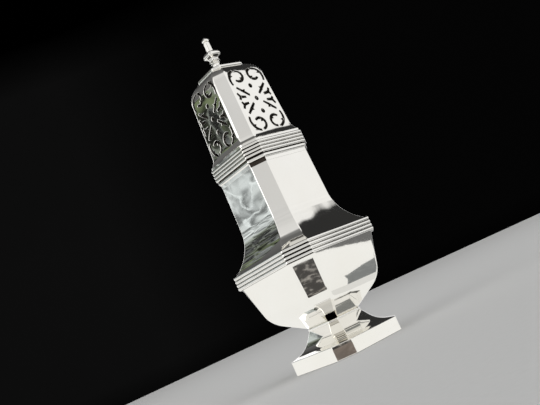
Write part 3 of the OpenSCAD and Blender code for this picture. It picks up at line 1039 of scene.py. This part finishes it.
def painted_room_reflection():
    """A glowing card that only the silver shows, a painted reflection of a dark room: grey swirls and
    bright streaks, darker and greener above.
    """
    material, tree, shader = new_material("painted reflection of a dark room")
    spot = on_piece(tree)
    tones = noise(tree, spot, size=16, detail=2.0, distortion=1.2)
    streaks = noise(tree, spot, size=24, detail=0.5, distortion=1.6)
    # A painted bright streak shows as a thin line where the noise passes its middle
    streak = maths(tree, "SUBTRACT", ramp(tree, streaks, *STREAK_START), ramp(tree, streaks, *STREAK_END))
    height = add(tree, "ShaderNodeSeparateXYZ", {"Vector": spot}).node.outputs["Z"]
    white = ramp(tree, height, LEFT_GLOW_GREEN[0] * MM, LEFT_GLOW_GREEN[1] * MM, low=1.0, high=0.0)
    paler = ramp(tree, height, LEFT_GLOW_PALER[0] * MM, LEFT_GLOW_PALER[1] * MM, low=0.2, high=0.46)
    darkest = between(tree, white, 0.01, 0.24)
    brightest = between(tree, white, paler, 0.88)
    swirls = ramp(tree, tones, 0.42, 0.6, low=darkest, high=brightest)
    glint = between(tree, white, 0.4, 1.1)
    leaves = ramp(tree, streaks, 0.42, 0.54)
    green = mix(tree, leaves, "#a3b389", "#d3dadb")
    connect(tree, shader, {
        "Base Color": linear("#000000"),
        "Roughness": 1.0,
        "Emission Color": mix(tree, white, green, "#e4ecee"),
        "Emission Strength": between(tree, streak, swirls, glint)})
    return material


def stage():
    """The floor, and the cards that only the silver shows, which paint its bright and dark reflections."""
    near, far = -FLOOR_HALF, FLOOR_HALF
    floor = sheet("floor", lying(0, ((near, near), (far, near), (far, far), (near, far))), laminate())
    floor.visible_glossy = False
    # Glowing sheets that only the silver shows: painted bright reflections, not lamps
    card("glow_under", lying(GLOW_UNDER_Z, GLOW_UNDER), glowing_reflection("bright painted reflection", REFLECTED_GLOW))
    # Dark, brown and grey sheets that only the silver shows: painted dark reflections
    dark_reflection = matt_reflection("dark painted reflection", "#4c4947", "#b9b4ae")
    card("flag_front", lying(FLAG_Z, FLAG_FRONT), dark_reflection)
    card("flag_foot", standing(FLAG_Z, FLAG_FOOT_TOP, FLAG_FOOT), dark_reflection)
    card("flag_rim", standing(GLOW_UNDER_Z, FLAG_RIM_TOP, FLAG_RIM), matt_reflection("brown painted reflection", "#aba09b", "#c4b8b3"))
    card("glow_right", lying(RIGHT_Z, GLOW_RIGHT), glowing_reflection("dimmer painted reflection", REFLECTED_GLOW_DIM))
    card("flag_right", lying(RIGHT_Z, FLAG_RIGHT), matt_reflection("grey painted reflection", "#939697", "#a0a3a3"))
    card("card_left", left_glow_corners(), painted_room_reflection())


stage()

# Key light over the floor, which the silver doesn't show: its height, width and level
KEY_Z = 1500
KEY_W = 1200
KEY_LEVEL = 0.86


def key_light():
    """A square lamp that lights the floor from above."""
    light = bpy.data.lights.new("key", "AREA")
    light.size = KEY_W * MM
    light.energy = KEY_LEVEL * math.pi * light.size ** 2
    key = bpy.data.objects.new("key", light)
    key.location.z = KEY_Z * MM
    key.visible_camera = False
    key.visible_glossy = False
    bpy.context.scene.collection.objects.link(key)


key_light()

# Light overhead: azimuth and elevation of two points on its right edge and of the middle of its left
EDGE_LOW = (49.5, 23.4)
EDGE_HIGH = (61.9, 41.2)
EDGE_LEFT = (-110, 0)
# How far in from those edges it fades, and the share of it that is left at its middle
RIGHT_FADE = 0.02
LEFT_FADE = 0.1
ZENITH = 0.12
# Sines of the elevations over which the walls begin and end, and the middle overhead begins
WALL_FOOT = (-0.03, 0.02)
WALL_TOP = (0.38, 0.43)
MIDDLE = (0.97, 0.985)
# Azimuth of the upright strip in which the light is dimmer
DIM_STRIP = -50
# Sines of the turn from its middle over which the strip ends, and over which the lamp on its left ends
STRIP_EDGE = (0.2, 0.35)
LAMP_EDGE = (0.8, 0.9)
# Levels of the light, of the strip and of the lamp, which only the arrises show
BRIGHT = 0.92
DIM = 0.66
GLINT = 2.0
# Direction, spread and level of a glow high on the left
GLOW = (-140, 60)
GLOW_SPREAD = (0.6, 0.95)
GLOW_LEVEL = 0.16
# Levels of the ground beyond the floor and of the dark, and the share of it all that the camera sees
GROUND = 0.15
DARK = 0.03
BACKDROP = 0.002
# How uneven the light is, and how many patches it has across
UNEVEN = 0.06
PATCHES = 5.0


def studio():
    """Soft studio light: a ring of pale walls, a sheet of light overhead, and black behind."""
    world = bpy.data.worlds.new("studio")
    world.use_nodes = True
    tree = world.node_tree
    way = add(tree, "ShaderNodeTexCoord").node.outputs["Generated"]
    rise = add(tree, "ShaderNodeSeparateXYZ", {"Vector": way}).node.outputs["Z"]
    level_way = add(tree, "ShaderNodeVectorMath", {0: way, 1: (1, 1, 0)}, operation="MULTIPLY")
    heading = add(tree, "ShaderNodeVectorMath", {0: level_way}, operation="NORMALIZE")

    def along(axis, line=way):
        """How far a direction points along an axis."""
        return add(tree, "ShaderNodeVectorMath", {0: line, 1: axis}, operation="DOT_PRODUCT")

    def times(a, b):
        """One level dimmed by another."""
        return maths(tree, "MULTIPLY", a, b)

    def strip(left):
        """Levels from the left of the strip, through the strip, to the bright light on its right."""
        start, end = STRIP_EDGE
        dimmed = ramp(tree, across, -end, -start, left, DIM)
        return ramp(tree, across, start, end, dimmed, BRIGHT)

    across = along(toward(DIM_STRIP + 90, 0), heading)
    lamp = ramp(tree, across, -LAMP_EDGE[1], -LAMP_EDGE[0], BRIGHT, GLINT)
    walls = times(ramp(tree, rise, *WALL_TOP, 1.0, 0.0), ramp(tree, rise, *WALL_FOOT, GROUND))
    right_edge = toward(*EDGE_LOW).cross(toward(*EDGE_HIGH)).normalized()
    left_edge = toward(EDGE_LEFT[0] + 90, EDGE_LEFT[1])
    inside = times(
        ramp(tree, along(right_edge), 0.0, RIGHT_FADE), ramp(tree, along(left_edge), 0.0, LEFT_FADE))
    overhead = times(inside, ramp(tree, rise, *MIDDLE, 1.0, ZENITH))
    light = maths(tree, "MAXIMUM", times(walls, strip(lamp)), times(overhead, strip(BRIGHT)))
    patches = add(tree, "ShaderNodeTexNoise", {
        "Vector": way, "Scale": PATCHES, "Detail": 2.0, "Distortion": 1.0})
    uneven = times(light, ramp(tree, patches, 0.2, 0.8, 1 - UNEVEN, 1 + UNEVEN))
    glow = ramp(tree, along(toward(*GLOW)), *GLOW_SPREAD, DARK, GLOW_LEVEL)
    seen = add(tree, "ShaderNodeLightPath").node.outputs["Is Camera Ray"]
    connect(tree, tree.nodes["Background"], {
        "Strength": times(maths(tree, "ADD", uneven, glow), between(tree, seen, 1.0, BACKDROP)),
        "Color": linear("#ffffff")})
    bpy.context.scene.world = world


studio()

# Camera, as the photograph sees the caster: place, aim, roll, lens, film width and nearest sight
CAMERA_AT = (282.9, -247.8, 24)
CAMERA_AIM = (0.3, -6.1, 79.8)
CAMERA_ROLL = -24.81
LENS = 52.3
SENSOR_W = 36
NEAREST = 10


def camera():
    """The camera of the photograph."""
    data = bpy.data.cameras.new("camera")
    data.sensor_width = SENSOR_W
    data.lens = LENS
    data.clip_start = NEAREST * MM
    view = bpy.data.objects.new("camera", data)
    away = (Vector(CAMERA_AT) - Vector(CAMERA_AIM)).to_track_quat("Z", "Y").to_matrix().to_4x4()
    roll = Matrix.Rotation(math.radians(CAMERA_ROLL), 4, "Z")
    view.matrix_world = Matrix.Translation(Vector(CAMERA_AT) * MM) @ away @ roll
    bpy.context.scene.collection.objects.link(view)
    bpy.context.scene.camera = view


camera()
bpy.context.scene.view_settings.view_transform = "Standard"
